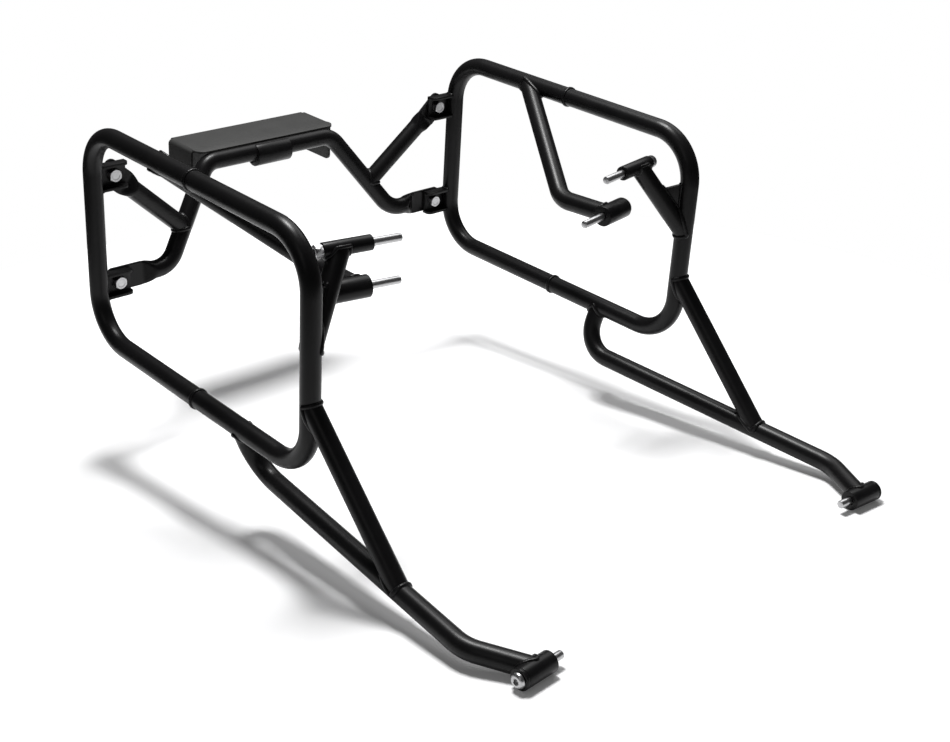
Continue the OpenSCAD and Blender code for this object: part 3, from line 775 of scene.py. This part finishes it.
def make_crossbar():
    out = Vector((1, 0, 0))
    end_x = BOLT_X - BAR_FLAT_LEAD - CRUSH_LEN
    left_end = Vector((-end_x, FLAT_Y, BAR_LOW_Z))
    right_end = Vector((end_x, FLAT_Y, BAR_LOW_Z))
    radii = [0, BAR_LOW_BEND_R, BAR_TOP_BEND_R, BAR_TOP_BEND_R, BAR_LOW_BEND_R, 0]
    rings = []
    # The first end is drawn from the tube outwards, so its rings and their points are turned round
    for r in reversed(crushed(left_end, -out, left_end - out * CRUSH_LEN, -out, UP)):
        rings.append(r[:1] + r[:0:-1])
    for p, d in bent_path([left_end] + BAR + [right_end], radii):
        rings.append(section(p, d, UP))
    rings += crushed(right_end, out, right_end + out * CRUSH_LEN, out, UP)
    bm = bmesh.new()
    skin(bm, [[mm(p) for p in r] for r in rings], close_ends=True)
    for s in (1, -1):
        start = Vector((s * (BOLT_X - BAR_FLAT_LEAD), FLAT_Y, BAR_LOW_Z))
        flat_plate(bm, start, out * s, UP * s, BAR_FLAT_LEAD, BAR_FLAT_TAIL, BAR_CORNER_R)
    finish_mesh("crossbar_formed", bm, BLACK, "rear_crossbar", angle=40)


def make_brace(side):
    d = (HI_BOLT - BRACE_ROOT).normalized()
    flat_d = Vector((d.x, 0, d.z)).normalized()
    tube_end = HI_BOLT - d * (BRACE_FLAT_LEAD + CRUSH_LEN)
    flat_start = HI_BOLT - flat_d * BRACE_FLAT_LEAD
    wide = BACK.cross(flat_d)
    e = BAR_DROP.normalized()
    # The root ring follows the crossbar's surface, just inside it
    root_ring = []
    for point in section(Vector((0, 0, 0)), d, wide):
        root_ring.append(BRACE_ROOT + point + d * reach(point, d, e, TUBE_R - 0.6))
    rings = [root_ring]
    length = (tube_end - BRACE_ROOT).length
    k = 24.0
    while k < length:
        rings.append(section(BRACE_ROOT + d * k, d, wide))
        k += 4.0
    rings.append(section(tube_end, d, wide))
    rings += crushed(tube_end, d, flat_start, flat_d, wide)
    bm = bmesh.new()
    skin(bm, [[mm(flip(p, side)) for p in r] for r in rings], close_ends=True)
    flat_plate(bm, flip(flat_start, side), flip(flat_d, side), flip(wide, side), BRACE_FLAT_LEAD,
               BRACE_FLAT_TAIL, BRACE_CORNER_R)
    n = side_name(side)
    finish_mesh(n + "_brace_formed", bm, BLACK, n + "_rear_brace", angle=40)


# Sheet pieces get softened edges

def soften(node, width, coat):
    """Copy of a node whose sharp edges are bevelled by width"""
    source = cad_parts[node]
    bm = bmesh.new()
    bm.from_mesh(source.data)
    bmesh.ops.remove_doubles(bm, verts=bm.verts, dist=0.00002)
    bmesh.ops.dissolve_limit(bm, angle_limit=math.radians(2.0), verts=bm.verts, edges=bm.edges)
    sharp = [e for e in bm.edges if len(e.link_faces) == 2 and e.calc_face_angle(0) > math.radians(28)]
    bmesh.ops.bevel(bm, geom=sharp, offset=width / 1000, offset_type="OFFSET", segments=2, profile=0.5,
                    affect="EDGES", clamp_overlap=True)
    finish_mesh(node + "_softened", bm, coat, node, angle=40)


for side in (1, -1):
    leg_fasteners(side)
    arm_fasteners(side)
    stay_fasteners(side)
    rear_fasteners(side)
    seam_welds(side)
    joint_welds(side)
    bracket_welds(side)
    gusset_welds(side)
    make_brace(side)
    for piece in ("upper_bracket", "lower_bracket", "stay_gusset"):
        soften(side_name(side) + "_" + piece, 0.45, BLACK)
make_crossbar()
soften("crossbar_saddle", 0.5, BLACK)
soften("tail_box", 0.4, GREY)


# Floor: a round white disc, tilted as the photograph's shadows show, that glows a little where it is seen

FLOOR_TILT = -5.9
FLOOR_R = 0.85
FLOOR_CENTRE = (0.05, 0.48, 0.0)
FLOOR_BELOW_LEG = 10.6
FLOOR_GLOW = 0.07


def seen_directly(nt):
    """1 for camera, glossy and transmission rays, else 0"""
    path = nt.nodes.new("ShaderNodeLightPath")
    total = path.outputs["Is Camera Ray"]
    for kind in ("Is Glossy Ray", "Is Transmission Ray"):
        add = nt.nodes.new("ShaderNodeMath")
        add.operation = "ADD"
        add.use_clamp = True
        nt.links.new(total, add.inputs[0])
        nt.links.new(path.outputs[kind], add.inputs[1])
        total = add.outputs["Value"]
    return total


def floor_material():
    mat = bpy.data.materials.new("floor_white")
    mat.use_nodes = True
    nt = mat.node_tree
    bsdf = nt.nodes["Principled BSDF"]
    bsdf.inputs["Base Color"].default_value = (0.86, 0.86, 0.865, 1)
    bsdf.inputs["Roughness"].default_value = 1.0
    bsdf.inputs["Specular IOR Level"].default_value = 0.0
    glow = nt.nodes.new("ShaderNodeEmission")
    glow.inputs["Color"].default_value = (1, 1, 1, 1)
    lift = nt.nodes.new("ShaderNodeMath")
    lift.operation = "MULTIPLY"
    lift.inputs[1].default_value = FLOOR_GLOW
    nt.links.new(seen_directly(nt), lift.inputs[0])
    nt.links.new(lift.outputs["Value"], glow.inputs["Strength"])
    both = nt.nodes.new("ShaderNodeAddShader")
    nt.links.new(bsdf.outputs["BSDF"], both.inputs[0])
    nt.links.new(glow.outputs["Emission"], both.inputs[1])
    nt.links.new(both.outputs["Shader"], nt.nodes["Material Output"].inputs["Surface"])
    return mat


bm = bmesh.new()
bmesh.ops.create_circle(bm, cap_ends=True, segments=96, radius=FLOOR_R)
bmesh.ops.translate(bm, verts=bm.verts, vec=FLOOR_CENTRE)
data = bpy.data.meshes.new("floor")
bm.to_mesh(data)
bm.free()
data.materials.append(floor_material())
floor = bpy.data.objects.new("floor", data)
bpy.context.collection.objects.link(floor)
floor.location = mm((0, LEG_END.y, LEG_END.z - FLOOR_BELOW_LEG))
floor.rotation_euler = (math.radians(FLOOR_TILT), 0, 0)


# World: white to the camera, faint as a light

world = bpy.data.worlds.new("studio")
bpy.context.scene.world = world
world.use_nodes = True
wn = world.node_tree
back = wn.nodes["Background"]
back.inputs["Color"].default_value = (1, 1, 1, 1)
back.inputs["Strength"].default_value = 0.07
white = wn.nodes.new("ShaderNodeBackground")
white.inputs["Color"].default_value = (1, 1, 1, 1)
white.inputs["Strength"].default_value = 1.0
ray = wn.nodes.new("ShaderNodeLightPath")
mix = wn.nodes.new("ShaderNodeMixShader")
wn.links.new(ray.outputs["Is Camera Ray"], mix.inputs["Fac"])
wn.links.new(back.outputs["Background"], mix.inputs[1])
wn.links.new(white.outputs["Background"], mix.inputs[2])
wn.links.new(mix.outputs["Shader"], wn.nodes["World Output"].inputs["Surface"])


# Lamps

def area(name, location, target, size_x, size_y, power):
    light = bpy.data.lights.new(name, "AREA")
    light.shape = "RECTANGLE"
    light.size = size_x
    light.size_y = size_y
    light.energy = power
    obj = bpy.data.objects.new(name, light)
    bpy.context.scene.collection.objects.link(obj)
    obj.location = location
    obj.rotation_euler = (Vector(target) - Vector(location)).to_track_quat("-Z", "Y").to_euler()


# The key hangs where the photograph's shadows point to
KEY_AT = (98.7, 290.3, 1909.4)
area("key", mm(KEY_AT), mm((*KEY_AT[:2], 0)), 0.56, 0.56, 64.0)
area("side", (1.45, 0.7, 1.8), (0, 0, 0), 1.5, 1.5, 17.0)
area("fill", (-2.2, -1.0, 1.5), (0, 0, 0), 0.8, 1.4, 3.0)


# Camera, from the fit of the tubes and bolts to the photograph's view

CAMERA_AT = (-970.8, -1339.8, 716.9)
AZ = math.radians(-42.2)
EL = math.radians(25.949)
ROLL = math.radians(2.889)
away = Vector((math.sin(AZ) * math.cos(EL), -math.cos(AZ) * math.cos(EL), math.sin(EL)))
right = Vector((math.cos(AZ), math.sin(AZ), 0))
up = away.cross(right)
cam_x = right * math.cos(ROLL) + up * math.sin(ROLL)
cam_y = -right * math.sin(ROLL) + up * math.cos(ROLL)
cam = bpy.data.cameras.new("camera")
cam.sensor_fit = "HORIZONTAL"
cam.sensor_width = 36.0
cam.lens = 57.40
cam.shift_x = 0.0380
cam.shift_y = -0.0215
cam.clip_start = 0.05
cam.clip_end = 60.0
cam_obj = bpy.data.objects.new("camera", cam)
bpy.context.collection.objects.link(cam_obj)
turn = Matrix((cam_x, cam_y, away)).transposed().to_4x4()
cam_obj.matrix_world = Matrix.Translation(mm(CAMERA_AT)) @ turn
bpy.context.scene.camera = cam_obj
bpy.context.scene.view_settings.view_transform = "Standard"
